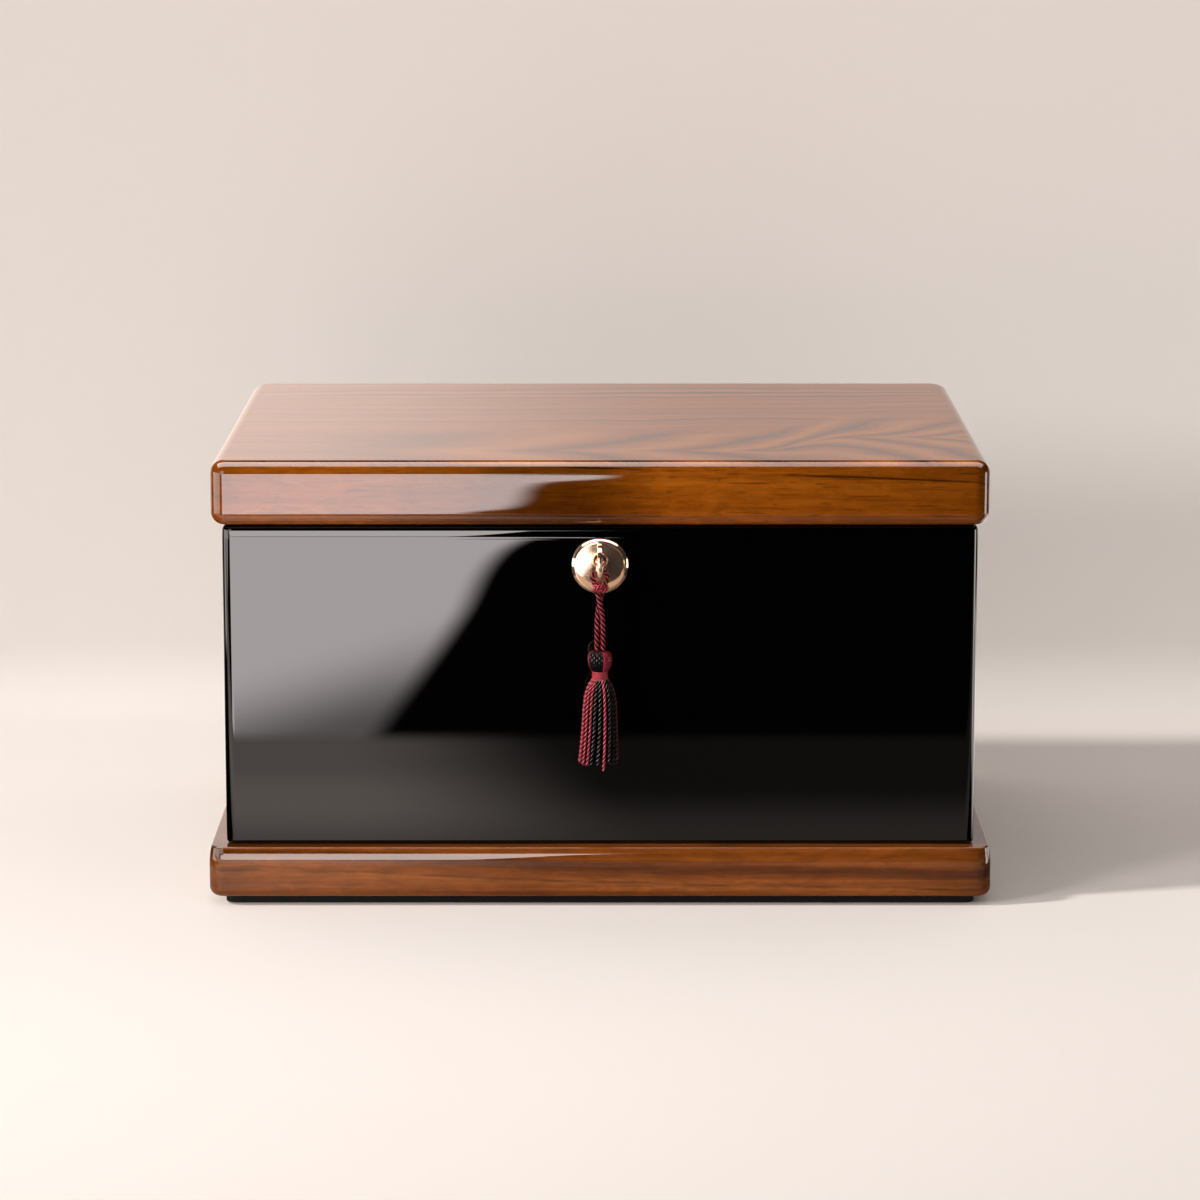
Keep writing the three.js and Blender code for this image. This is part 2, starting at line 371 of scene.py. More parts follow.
def node_group(name, kind, inputs, outputs, output_kind="Float"):
    """An empty group, its inputs as fields and its output node. Inputs are kinds or start values."""
    tree = bpy.data.node_groups.new(name, kind)
    for label, value in inputs.items():
        plain_kind = "Int" if isinstance(value, int) else "Float"
        socket = "NodeSocket" + (value if isinstance(value, str) else plain_kind)
        made = tree.interface.new_socket(label, in_out="INPUT", socket_type=socket)
        if not isinstance(value, str):
            made.default_value = value
    for label in outputs:
        tree.interface.new_socket(label, in_out="OUTPUT", socket_type="NodeSocket" + output_kind)
    given = tree.nodes.new("NodeGroupInput").outputs
    return tree, {label: Field(given[label]) for label in inputs}, tree.nodes.new("NodeGroupOutput")


def walnut_figure_group():
    """Figured walnut: growth bands about a tilted heart line, one dark vein, fibres, flecks and mottle."""
    tree, given, made = node_group("walnut_figure", "ShaderNodeTree", {
        "Vector": "Vector", "Heart": "Vector", "Taper": 0.1, "Bands": 90.0, "Warp": 0.01,
        "Vein Place": 0.1, "Vein Width": 0.001,
    }, ("Bands", "Vein", "Fibre", "Flecks", "Mottle"))
    vector = given["Vector"]
    drift = noise(vector, (6, 20, 20), 1.0)
    shift = (noise(vector, (28, 60, 60)) * 0.3 + drift - 0.65) * given["Warp"]
    x, y, z = split(vector_math("SUBTRACT", vector, given["Heart"]))
    across = y + shift
    depth = z + x * given["Taper"] + shift
    radius = calculate("SQRT", across * across + depth * depth)
    off_line = calculate("ABSOLUTE", radius - given["Vein Place"])
    line = span(off_line / given["Vein Width"], 0.0, 1.0, 1.0, 0.0)
    broken = span(noise(vector, (45, 200, 200)), 0.3, 0.55)
    pores = span(noise(vector, (60, 1500, 1500), 1.0), 0.6, 0.72)
    short = span(noise(vector, (210, 1300, 1300), distortion=0.6), 0.6, 0.74)
    feed(made, {
        "Bands": growth_line(radius * given["Bands"]),
        "Vein": line * broken,
        "Fibre": noise(vector, (9, 520, 520), 4.0, 0.6, 0.15),
        "Flecks": calculate("MAXIMUM", pores, short),
        "Mottle": noise(vector, (65, 230, 230), 3.0, 0.6, 1.0),
    })
    return tree


def hand_polish_group():
    """Faint smears and dust that change a polished surface's gloss."""
    inputs = {"Vector": "Vector", "Gloss": 0.02, "Smear": 0.02}
    tree, given, made = node_group("hand_polish", "ShaderNodeTree", inputs, ("Roughness", "Dust"))
    cloud = span(noise(given["Vector"], (14, 14, 14), 4.0, 0.6), 0.4, 0.75)
    specks = span(noise(given["Vector"], (900, 900, 900), 1.0), 0.72, 0.8)
    feed(made, {"Roughness": cloud * given["Smear"] + given["Gloss"], "Dust": specks})
    return tree


def silk_fibre_group():
    """Silk laid in plies, with fine filaments: painted shade in the grooves and painted highlights on the
    crests.
    """
    inputs = {"Filaments": 7.0, "Lean": 900.0, "Crest": 0.82}
    tree, given, made = node_group("silk_fibre", "ShaderNodeTree", inputs, ("Shade", "Height", "Strand"))

    def attribute(name, output="Fac"):
        return field(tree, "Attribute", output=output, attribute_name=name)

    along, strand = attribute("along"), attribute("strand")
    x, y, _ = split(attribute("ring", "Vector"))
    phase = calculate("ARCTAN2", y, x) * given["Filaments"] + along * given["Lean"]
    line = calculate("SINE", phase) * 0.5 + 0.5
    place = field(tree, "CombineXYZ", {"X": along * 900.0, "Y": strand})
    # painted light: dark where a ply sinks towards the strand's axis, bright on its outer crest
    raised = span(attribute("crest"), given["Crest"], 1.0)
    feed(made, {
        "Shade": raised * (line * 0.35 + 0.75) * (noise(place) * 0.5 + 0.75),
        "Height": line,
        "Strand": calculate("FRACT", strand * 0.618034),
    })
    return tree


WALNUT_FIGURE = walnut_figure_group()
HAND_POLISH = hand_polish_group()
SILK_FIBRE = silk_fibre_group()


# Materials

def blank_material(name):
    """An empty material, its tree and its output node."""
    material = bpy.data.materials.new(name)
    material.use_nodes = True
    tree = material.node_tree
    tree.nodes.clear()
    return material, tree, add(tree, "OutputMaterial")


def new_material(name):
    """A material with one principled surface, that surface and its object coordinates."""
    material, tree, output = blank_material(name)
    surface = add(tree, "BsdfPrincipled")
    feed(output, {"Surface": Field(surface.outputs[0])})
    return material, surface, field(tree, "TexCoord", output="Object")


def use_group(tree, group, values):
    """A group's outputs, by name."""
    made = add(tree, "Group", values, node_tree=group)
    return {socket.name: Field(socket) for socket in made.outputs}


def polished(place, gloss, smear):
    return use_group(place.tree, HAND_POLISH, {"Vector": place, "Gloss": gloss, "Smear": smear})


def relief(height, distance):
    values = {"Height": height, "Distance": distance, "Strength": 0.8}
    return field(height.tree, "Bump", values, "Normal")


def walnut_layer(place, tones, shares, figure_values, bands=None):
    """One veneer's colour: growth bands and a vein, with fibres, mottle and pores."""
    figure = use_group(place.tree, WALNUT_FIGURE, {"Vector": place, **figure_values})
    deep, dark, middle, light = tones
    fibre, mottle, vein, flecks = shares
    stops = [(0.28, dark), (0.42, middle), (0.58, middle), (0.74, light)]
    banded = ramp(bands or figure["Bands"], stops)
    streak = span(figure["Fibre"], 0.28, 0.72, 0.5, 1.35)
    streaked = blend_colour(fibre, banded, streak, "MULTIPLY")
    cloud = span(figure["Mottle"], 0.3, 0.7, 0.6, 1.35)
    mottled = blend_colour(mottle, streaked, cloud, "MULTIPLY")
    veined = blend_colour(figure["Vein"] * vein, mottled, (*deep, 1))
    return blend_colour(figure["Flecks"] * flecks, veined, (*deep, 1))


def flame_bands(place):
    """The lid's top: straight grain at the back, and flames along the front."""
    along, deep, _ = split(place)
    drift = noise(place, (12, 26, 26)) - 0.5
    off_axis = deep - span(along, 0.06, 0.1, -0.083, -0.048)
    spread = calculate("SQRT", calculate("ABSOLUTE", off_axis) + 0.00002)
    tip = spread * -0.26 + along + drift * 0.035 - 0.019
    turns = tip * (tip * 70.0 + 24.0) * TURN
    flame = calculate("COSINE", turns) * -0.2 + growth_line(tip * 330.0) * 0.3 + 0.37
    straight = along * -0.03 + deep + drift * 0.02
    quiet = growth_line(straight * 190.0) * 1.45 - 0.215
    share = span(off_axis, 0.062, 0.036) * span(along, -0.15, -0.06, 0.2, 1.0)
    return field(place.tree, "Mix", {"Factor": share, "A": quiet, "B": flame}, data_type="FLOAT")


def finish_lacquered(surface, place, colour):
    """A thick, level, glossy coat over a matt ground."""
    feed(surface, {
        "Base Color": colour,
        "Roughness": polished(place, 0.4, 0.15)["Roughness"],
        "Specular IOR Level": 0.0,
        "Coat Weight": 1.0,
        "Coat Roughness": 0.008,
        "Coat IOR": 1.5,
    })


# How light the boards are along the plinth's length from left to right, as shares of it and of FULL_SHADE:
# the wood's own tone, with painted shade darkening the rounded ends
FULL_SHADE = 1.25
LID_TONE_AND_PAINTED_SHADE = [
    (0.0, 0.45), (0.035, 0.68), (0.09, 0.86), (0.3, 0.55), (0.45, 0.29), (0.53, 0.5), (0.63, 0.88),
    (0.82, 0.7), (0.96, 0.58), (1.0, 0.3),
]
PLINTH_TONE_AND_PAINTED_SHADE = [
    (0.0, 0.45), (0.035, 0.7), (0.12, 0.88), (0.5, 0.72), (0.85, 0.78), (0.95, 0.64), (1.0, 0.32),
]


def board_tone_and_painted_shade(place, colour, points):
    """A board's colour, lighter and darker along its length: its own tone, with painted shade at the ends.
    """
    share = split(place)[0] / (PLINTH_HIGH.x - PLINTH_LOW.x) + 0.5
    return blend_colour(1.0, colour, curve(share, points) * FULL_SHADE, "MULTIPLY")


def lid_walnut():
    """The lid: a flame-figured veneer on top and a quieter one round its edges."""
    material, surface, place = new_material("lid_walnut")
    top = walnut_layer(place, TOP_TONES, (0.4, 0.15, 0.0, 0.2), {"Warp": 0.012}, flame_bands(place))
    edge = walnut_layer(place, EDGE_TONES, (0.4, 0.45, 0.85, 0.45), {
        "Heart": (0.05, -0.2, 0.02), "Taper": 0.05, "Bands": 45.0, "Warp": 0.004,
        "Vein Place": 0.1741, "Vein Width": 0.0007,
    })
    upright = split(field(place.tree, "NewGeometry", output="Normal"))[2]
    facing_up = span(upright, 0.6, 0.85)
    finish_lacquered(surface, place, blend_colour(facing_up, board_tone_and_painted_shade(place, edge, LID_TONE_AND_PAINTED_SHADE), top))
    return material


def plinth_walnut():
    """The plinth: straight-grained."""
    material, surface, place = new_material("plinth_walnut")
    colour = walnut_layer(place, PLINTH_TONES, (0.5, 0.4, 0.5, 0.25), {
        "Heart": (0.0, 0.02, -0.226), "Taper": 0.02, "Bands": 95.0, "Warp": 0.02,
        "Vein Place": 0.272, "Vein Width": 0.001,
    })
    finish_lacquered(surface, place, board_tone_and_painted_shade(place, colour, PLINTH_TONE_AND_PAINTED_SHADE))
    return material


def black_lacquer():
    """Black lacquer polished to a mirror, with the faintest dust in it."""
    material, surface, place = new_material("black_lacquer")
    dust = polished(place, 0.3, 0.15)["Dust"]
    tone = blend_colour(dust, (0.0007, 0.0006, 0.0006, 1), (0.004, 0.0036, 0.0034, 1))
    finish_lacquered(surface, place, tone)
    return material


def rose_gold():
    """Polished rose-gold plating with faint rubbing marks."""
    material, surface, place = new_material("rose_gold")
    rubbed = noise(place, (2500, 2500, 300))
    feed(surface, {
        "Base Color": blend_colour(rubbed, (0.88, 0.6, 0.42, 1), (0.93, 0.66, 0.48, 1)),
        "Metallic": 0.93,
        "Roughness": polished(place, 0.06, 0.05)["Roughness"],
    })
    return material


def felt():
    """Short black felt."""
    material, surface, place = new_material("black_felt")
    nap = noise(place, (2600, 2600, 2600), 3.0, 0.7)
    feed(surface, {
        "Base Color": blend_colour(nap, (0.003, 0.002, 0.0016, 1), (0.012, 0.008, 0.006, 1)),
        "Roughness": 0.95,
        "Normal": relief(nap, 0.0004),
    })
    return material


def silk(name, dark, middle, light, crest=0.87, middle_place=0.35, gloss=0.2, metallic=0.2):
    """Silk with painted shade between its threads and painted highlights on their crests, glossy along
    them.
    """
    material, surface, place = new_material(name)
    fibre = use_group(place.tree, SILK_FIBRE, {"Filaments": 8.0, "Lean": 2600.0, "Crest": crest})
    # dark is painted shade in the grooves, middle the silk's own tone, light a painted highlight on the
    # crests
    tone = ramp(fibre["Shade"], [(0.0, dark), (middle_place, middle), (0.97, light)])
    dyed = span(fibre["Strand"], 0.0, 1.0, 0.82, 1.1)
    feed(surface, {
        "Base Color": blend_colour(1.0, tone, dyed, "MULTIPLY"),
        "Metallic": metallic,
        "Roughness": 0.34,
        "Specular IOR Level": gloss,
        "Normal": relief(fibre["Height"], 0.00005),
    })
    return material


# Tones, from the darkest to the lightest
TOP_TONES = ((0.03, 0.006, 0.001), (0.05, 0.011, 0.0015), (0.28, 0.07, 0.006), (0.44, 0.14, 0.016))
EDGE_TONES = ((0.028, 0.0065, 0.001), (0.165, 0.039, 0.0026), (0.22, 0.055, 0.0036), (0.3, 0.083, 0.006))
PLINTH_TONES = ((0.04, 0.01, 0.002), (0.085, 0.021, 0.003), (0.24, 0.066, 0.011), (0.35, 0.115, 0.023))
DEEP_RED, DEEP_BLACK = (0.016, 0.0005, 0.001), (0.0004, 0.0003, 0.0003)
SOFT_BLACK = (0.0014, 0.001, 0.001)

LID_WALNUT = lid_walnut()
PLINTH_WALNUT = plinth_walnut()
BLACK_LACQUER = black_lacquer()
ROSE_GOLD = rose_gold()
FELT = felt()
# The silks' darkest tones are painted shade in the grooves and their lightest are painted highlights on the
# crests
BURGUNDY_SILK = silk("burgundy_silk", DEEP_RED, (0.2, 0.009, 0.017), (1.0, 0.13, 0.175), 0.84)
STRAND_SILK = silk("strand_silk", DEEP_RED, (0.34, 0.014, 0.026), (1.0, 0.19, 0.25), 0.75)
CORD_SILK = silk("cord_silk", (0.012, 0.0004, 0.0008), (0.09, 0.0045, 0.008), (0.56, 0.085, 0.115))
# a darker copy of the red silk: painted shade for the strands on the right, away from the light
SHADED_RED_SILK = silk("red_silk_painted_shade", (0.03, 0.003, 0.004), (0.15, 0.022, 0.03), (0.34, 0.075, 0.09))
# darker copies of the black silk: painted shade for the strands on the right and, darker still, for the
# inner strands in the gaps
SHADED_BLACK_TONES = (DEEP_BLACK, (0.001, 0.0007, 0.0007), (0.1, 0.08, 0.08))
INNER_SHADE_TONES = (DEEP_BLACK, (0.001, 0.0008, 0.0008), (0.004, 0.0034, 0.0034))
BLACK_SILK = silk("black_silk", DEEP_BLACK, SOFT_BLACK, (0.95, 0.76, 0.77), 0.95, 0.6, 0.04, 0.0)
WOVEN_SILK = silk("woven_black_silk", DEEP_BLACK, SOFT_BLACK, (0.24, 0.19, 0.19), 0.66, 0.5, 0.08, 0.0)
SHADED_BLACK_SILK = silk("black_silk_painted_shade", *SHADED_BLACK_TONES, 0.9, 0.65, 0.08, 0.0)
INNER_SHADED_SILK = silk("inner_black_silk_painted_shade", *INNER_SHADE_TONES, 0.9, 0.65, 0.05, 0.0)


def finish_piece(piece, slot, node, *materials):
    """Gives a piece its materials, attaches it to the root and hides the node that it stands for; the slot
    is not used.
    """
    for material in materials:
        piece.data.materials.append(material)
    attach(piece, "root")
    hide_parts(node)
    return piece


# Boards and box

def make_lid():
    """A thick board with rounded edges and a shallow step under it."""
    underside = BODY_HIGH.z
    profile = [
        *edge_curve(STEP_INSET + EASED, LID_LOW.z + EASED, EASED, -90, 0, 4),
        *edge_curve(STEP_INSET - EASED, underside - EASED, -EASED, 0, -90, 4),
        *edge_curve(LID_EDGE, underside + LID_EDGE, LID_EDGE, -90, 0, 14),
        *edge_curve(LID_EDGE, LID_HIGH.z - LID_EDGE, LID_EDGE, 0, 90, 14),
    ]
    lid = lofted_box("lid_board", "lid", LID_CORNER, profile, LID_REAR_CORNER)
    finish_piece(lid, "walnut_lacquer", "lid", LID_WALNUT)


def keyhole_tool(back, front):
    """The keyhole's form, a round top over a slot, between two planes."""
    round_top = turned("keyhole_round", [(COLLAR_INNER, -back), (COLLAR_INNER, -front)], 64)
    move(round_top, z=KEY_Z)
    half = SLOT_WIDTH / 2
    slot = block("keyhole_slot", (-half, front, KEY_Z - SLOT_DROP), (half, back, KEY_Z))
    return combine(round_top, slot, "UNION")


def make_body():
    """The hollow box: lacquered outside, over its rim and down its inner walls."""
    floor_z = BODY_LOW.z + FLOOR
    profile = [
        *edge_curve(BODY_FOOT_EDGE, BODY_LOW.z + BODY_FOOT_EDGE, BODY_FOOT_EDGE, -90, 0),
        *pillow_edge(BODY_HIGH.z, BODY_TOP_EDGE, *BODY_LEAD),
        *edge_curve(WALL - EASED, BODY_HIGH.z - EASED, EASED, 90, 180, 4),
        *edge_curve(WALL + EASED, floor_z + EASED, -EASED, 180, 90, 4),
    ]
    box = lofted_box("chest_box", "chest_body", BODY_CORNER, profile)
    cut_flat(box, keyhole_tool(FRONT_Y + WELL_DEPTH, FRONT_Y - MM))
    finish_piece(box, "black_lacquer", "chest_body", BLACK_LACQUER)


def make_plinth():
    """The board that the box stands on."""
    profile = [
        *edge_curve(PLINTH_FOOT_EDGE, PLINTH_LOW.z + PLINTH_FOOT_EDGE, PLINTH_FOOT_EDGE, -90, 0, 12),
        *pillow_edge(PLINTH_HIGH.z, PLINTH_TOP_EDGE, *PLINTH_LEAD),
    ]
    plinth = lofted_box("plinth_board", "plinth", PLINTH_CORNER, profile)
    finish_piece(plinth, "walnut_lacquer", "plinth", PLINTH_WALNUT)


def make_pad():
    """The felt pad under the plinth."""
    profile = [
        *edge_curve(PAD_EDGE, PAD_LOW.z + PAD_EDGE, PAD_EDGE, -90, 0, 4),
        *edge_curve(PAD_EDGE, PAD_HIGH.z - PAD_EDGE, PAD_EDGE, 0, 90, 4),
    ]
    pad = lofted_box("felt_pad", "base_pad", PAD_CORNER, profile)
    finish_piece(pad, "black_felt", "base_pad", FELT)


# Lock plate and key

# The plate's rim, from its foot inwards: tilt at the start and end of each curve, and the curve's radius
RIM_CURVES = ((90, 45, 0.3 * MM), (45, 39, 13.0 * MM), (39, 6, 0.5 * MM))


def plate_outline(angle):
    """From the plate's back, over its rim and a shallow bevel that widens downwards, up to its crown."""
    face_lift, half_wide, half_high = 1.0 * MM, 9.5 * MM, 8.0 * MM
    crown_high, crown_bend, crown_left, bevel_high = 2.45 * MM, 4.6, 1.6 * MM, 2.16 * MM
    slope_in, slope_out = tan(radians(3.4)), tan(radians(6.2))
    chamfer = 0.12 * MM
    out_x, out_z = cos(angle), sin(angle)
    a = (out_x / half_wide) ** 2 + (out_z / half_high) ** 2
    b = -face_lift * out_z / half_high ** 2
    c = (face_lift / half_high) ** 2 - 1
    face_edge = (-b + sqrt(b * b - a * c)) / a
    rim = [(0.0, 0.0)]
    for start, stop, bend in RIM_CURVES:
        inset, rise = rim.pop()
        first = radians(start)
        for i in range(7):
            tilt = radians(start + (stop - start) * i / 6)
            run_in = bend * (sin(first) - sin(tilt))
            run_up = bend * (cos(tilt) - cos(first))
            rim.append((inset + run_in, rise + run_up))
    inset, rise = rim[-1]
    bevel_run = PLATE_RADIUS - inset - face_edge

    def bevel_reach(share):
        return bevel_high - bevel_run * share * (slope_in + (slope_out - slope_in) * share / 2)

    foot = bevel_reach(1) - rise
    outline = [(POLE, 0.0), (PLATE_RADIUS - chamfer, 0.0), (PLATE_RADIUS, chamfer)]
    outline.extend((PLATE_RADIUS - inward, foot + up) for inward, up in rim)
    outline.extend((face_edge + bevel_run * share, bevel_reach(share)) for share in (0.75, 0.5, 0.25, 0.0))
    outline.append((face_edge - chamfer, bevel_high - chamfer))
    steps = 16
    for i in range(steps + 1):
        radius = max((face_edge - 0.2 * MM) * (1 - i / steps), POLE)
        from_crown = hypot(radius * out_x + crown_left, radius * out_z)
        outline.append((radius, crown_high - crown_bend * from_crown ** 2 / 2))
    return outline


def round_end(radius, reach, bend, degrees):
    """Pairs of radius and reach over a turned form's rounded end."""
    angles = [radians(degrees * i / 8) for i in range(9)]
    return [(radius - bend + bend * cos(a), reach - bend + bend * sin(a)) for a in angles]


def make_lock_plate():
    """The plate, with a round raised collar and the keyhole."""
    plate = turned("lock_plate", plate_outline, 144)
    move(plate, FRONT_Y, PLATE_Z)
    bead, bead_turn, step = 0.15 * MM, 126, 0.1 * MM
    outline = [(POLE, MM), (COLLAR_OUTER, MM), *round_end(COLLAR_OUTER, COLLAR_REACH, bead, bead_turn)]
    for i in range(6):
        radius, reach = outline[-1]
        outline.append((radius - step, reach - step * tan(radians(40 + 1.6 * i))))
    outline.append((POLE, outline[-1][1]))
    combine(plate, move(turned("collar", outline, 96), FRONT_Y, KEY_Z), "UNION")
    combine(plate, keyhole_tool(FRONT_Y + MM, FRONT_Y - COLLAR_REACH - MM), "DIFFERENCE")
    even_shading(plate)
    finish_piece(plate, "rose_gold", "escutcheon", ROSE_GOLD)


# Half the bow's thickness in millimetres and the fullness of its section, from its foot to its crown
BOW_STATIONS = [(-1.0, 1.05), (-0.36, 1.5), (-0.12, 0.86), (0.4, 0.84), (1.0, 1.0)]
BOW_FULLNESS = [(-0.5, 0.95), (-0.2, 0.42), (1.0, 0.5)]


def make_key():
    """An oval bow seen edge-on, on a round stem with a small bit."""
    bow_half = (KEY_HIGH.z - KEY_LOW.z) / 2
    around, section = 96, 24
    points = []
    for i in range(around):
        angle = TURN * i / around
        half_thick = between(BOW_STATIONS, sin(angle)) * MM
        flat = between(BOW_FULLNESS, sin(angle))
        for j in range(section):
            turn = TURN * j / section
            side = copysign(abs(sin(turn)) ** flat, sin(turn))
            reach = copysign(abs(cos(turn)) ** flat, cos(turn))
            in_rim = (reach - 1) * BOW_RIM / 2
            y = TASSEL_Y + (BOW_DEPTH + in_rim) * cos(angle)
            points.append((half_thick * side, y, KEY_Z + (bow_half + in_rim) * sin(angle)))
    key = mesh_piece("lock_key", points, ring_faces(around, section, closed=True))
    tail = KEY_HIGH.y
    stem_front = TASSEL_Y + BOW_DEPTH - BOW_RIM
    chamfer, dome = 0.35 * MM, 1.3 * MM
    stem = turned("stem", [
        (POLE, -tail),
        (STEM_RADIUS - chamfer, -tail),
        (STEM_RADIUS, -tail + chamfer),
        *round_end(STEM_RADIUS, -stem_front, dome, 90),
        (POLE, -stem_front),
    ], 48)
    bit_low = (-0.8 * MM, tail - 3.8 * MM, KEY_Z - 4.2 * MM)
    combine(key, move(stem, z=KEY_Z), "UNION")
    combine(key, block("bit", bit_low, (0.8 * MM, tail - 0.4 * MM, KEY_Z)), "UNION")
    even_shading(key)
    finish_piece(key, "rose_gold", "key", ROSE_GOLD)


# Tassel

# What a strand is made with, and where each value starts
PLY_INPUTS = {
    "Material": "Material", "Plies": 2, "Ply Radius": 0.4 * MM, "Lay Radius": 0.4 * MM,
    "Turn Length": 4.0 * MM, "Sides": 7, "Step": 0.3 * MM, "Tip": 1.0,
}


def twisted_plies_tree():
    """Geometry Nodes: plies laid round each given line, with their lay kept as attributes."""
    inputs = {"Geometry": "Geometry", **PLY_INPUTS}
    tree, given, made = node_group("twisted_plies", "GeometryNodeTree", inputs, ["Geometry"], "Geometry")

    def geometry(kind, values=None, output=0, **settings):
        return field(tree, "GeometryNode" + kind, values, output, **settings)

    def keep(shape, name, value, kind="FLOAT", domain="POINT"):
        values = {"Geometry": shape, "Name": name, "Value": value}
        return geometry("StoreNamedAttribute", values, data_type=kind, domain=domain)

    def scaled(vector, scale):
        return field(tree, "VectorMath", {0: vector, "Scale": scale}, operation="SCALE")

    lay, ply = given["Lay Radius"], given["Ply Radius"]
    position = geometry("InputPosition")
    along = geometry("SplineParameter", output="Length")
    share = geometry("SplineParameter", output="Factor")
    line = geometry("MeshToCurve", {"Mesh": given["Geometry"]})
    spaced = geometry("ResampleCurve", {"Curve": line, "Length": given["Step"]}, mode="LENGTH")
    marked = keep(spaced, "along", along)
    marked = keep(marked, "strand", geometry("InputIndex"), domain="CURVE")
    marked = keep(marked, "axis", position, "FLOAT_VECTOR")
    values = {"Geometry": marked, "Amount": given["Plies"]}
    copies = add(tree, "GeometryNodeDuplicateElements", values, domain="SPLINE").outputs
    angle = (along / given["Turn Length"] + Field(copies["Duplicate Index"]) / given["Plies"]) * TURN
    normal = geometry("InputNormal")
    sideways = vector_math("CROSS_PRODUCT", geometry("InputTangent"), normal)
    ahead = scaled(normal, calculate("COSINE", angle))
    aside = scaled(sideways, calculate("SINE", angle))
    offset = scaled(vector_math("ADD", ahead, aside), lay)
    laid = geometry("SetPosition", {"Geometry": Field(copies["Geometry"]), "Offset": offset})
    taper = span(share, 1.0, 0.97, given["Tip"], 1.0, "LINEAR")
    sized = geometry("SetCurveRadius", {"Curve": laid, "Radius": taper})
    circle = geometry("CurvePrimitiveCircle", {"Resolution": given["Sides"], "Radius": ply})
    around = share * TURN
    corner = {"X": calculate("COSINE", around), "Y": calculate("SINE", around)}
    section = keep(circle, "ring", field(tree, "CombineXYZ", corner), "FLOAT_VECTOR")
    tubes = geometry("CurveToMesh", {"Curve": sized, "Profile Curve": section, "Fill Caps": True})
    axis = geometry("InputNamedAttribute", {"Name": "axis"}, data_type="FLOAT_VECTOR")
    from_axis = field(tree, "VectorMath", {0: position, 1: axis}, "Value", operation="DISTANCE")
    innermost = calculate("MAXIMUM", lay - ply, 0.0)
    # how far out from the axis each point lies, which the silk turns into painted shade in the grooves and
    # painted highlights on the crests
    crest = span(from_axis, innermost, lay + ply, ends="LINEAR")
    cleared = geometry("RemoveAttribute", {"Geometry": keep(tubes, "crest", crest), "Name": "axis"})
    smooth = geometry("SetShadeSmooth", {"Geometry": cleared})
    real = geometry("RealizeInstances", {"Geometry": smooth})
    feed(made, {"Geometry": geometry("SetMaterial", {"Geometry": real, "Material": given["Material"]})})
    return tree


TWISTED_PLIES = twisted_plies_tree()


def twisted(name, lines, material, plies, ply, lay, turn, sides, step=0.3 * MM, tip=1.0):
    """Plain mesh of twisted plies along lines of points."""
    points, edges = [], []
    for line in lines:
        first = len(points)
        points.extend(line)
        edges.extend((first + i, first + i + 1) for i in range(len(line) - 1))
    piece = mesh_piece(name, points, edges=edges)
    modifier = piece.modifiers.new("plies", "NODES")
    modifier.node_group = TWISTED_PLIES
    values = dict(zip(PLY_INPUTS, (material, plies, ply, lay, turn, sides, step, tip)))
    for item in TWISTED_PLIES.interface.items_tree:
        if item.in_out == "INPUT" and item.name in values:
            modifier[item.identifier] = values[item.name]
    return settle(piece)


def smooth_route(points, per_span=8):
    """A Catmull-Rom curve through points, as close points."""
    ends = [points[0] * 2 - points[1], *points, points[-1] * 2 - points[-2]]
    route = []
    for a, b, c, d in zip(ends, ends[1:], ends[2:], ends[3:]):
        for i in range(per_span):
            t = i / per_span
            bend = (2 * a - 5 * b + 4 * c - d) * t ** 2 + (3 * b - a - 3 * c + d) * t ** 3
            route.append(0.5 * (2 * b + (c - a) * t + bend))
    return [*route, points[-1]]


def tassel_point(x, y, z):
    """A point given in millimetres from the tassel's axis."""
    return Vector((x * MM, TASSEL_Y + y * MM, z * MM))


def make_cord():
    """The silk cord: up one leg, through the key's bow, down the other leg."""
    up = [tassel_point(x, y, z) for x, y, z in CORD_LEG]
    down = [tassel_point(-x, -y, z) for x, y, z in reversed(CORD_LEG)]
    route = smooth_route([*up, tassel_point(*CORD_APEX), *down])
    ply = 0.47 * MM
    cord = twisted("tassel_cord_loop", [route], CORD_SILK, 3, ply, CORD_DIAMETER / 2 - ply, -6.2 * MM, 10)
    return finish_piece(cord, "burgundy_silk", "tassel_cord"), route


def make_knot():
    """The knot: one cord worked twice round the two legs, over and under itself."""
    ring, weave, rise, middle = 2.0, 0.62, 0.95, 127.3
    steps = 140
    line = []
    for i in range(steps + 1):
        turn = 2 * TURN * i / steps
        reach = ring + weave * cos(1.5 * turn)
        height = middle + rise * sin(1.5 * turn)
        line.append(tassel_point(reach * cos(turn), reach * sin(turn), height))
    ply = 0.4 * MM
    knot = twisted("tassel_cord_knot", [line], BURGUNDY_SILK, 3, ply, 0.82 * MM - ply, -4.0 * MM, 9)
    return finish_piece(knot, "burgundy_silk", "tassel_knot")


# The angles between the head's panels, and its radius in millimetres from its foot to its crown
PANEL_EDGES = (-75, 17, 105, 197, 285)
HEAD_STATIONS = [(0.0, 3.3), (0.1, 3.65), (0.3, 4.3), (0.55, 4.6), (0.78, 4.45), (0.92, 3.95), (1.0, 2.9)]


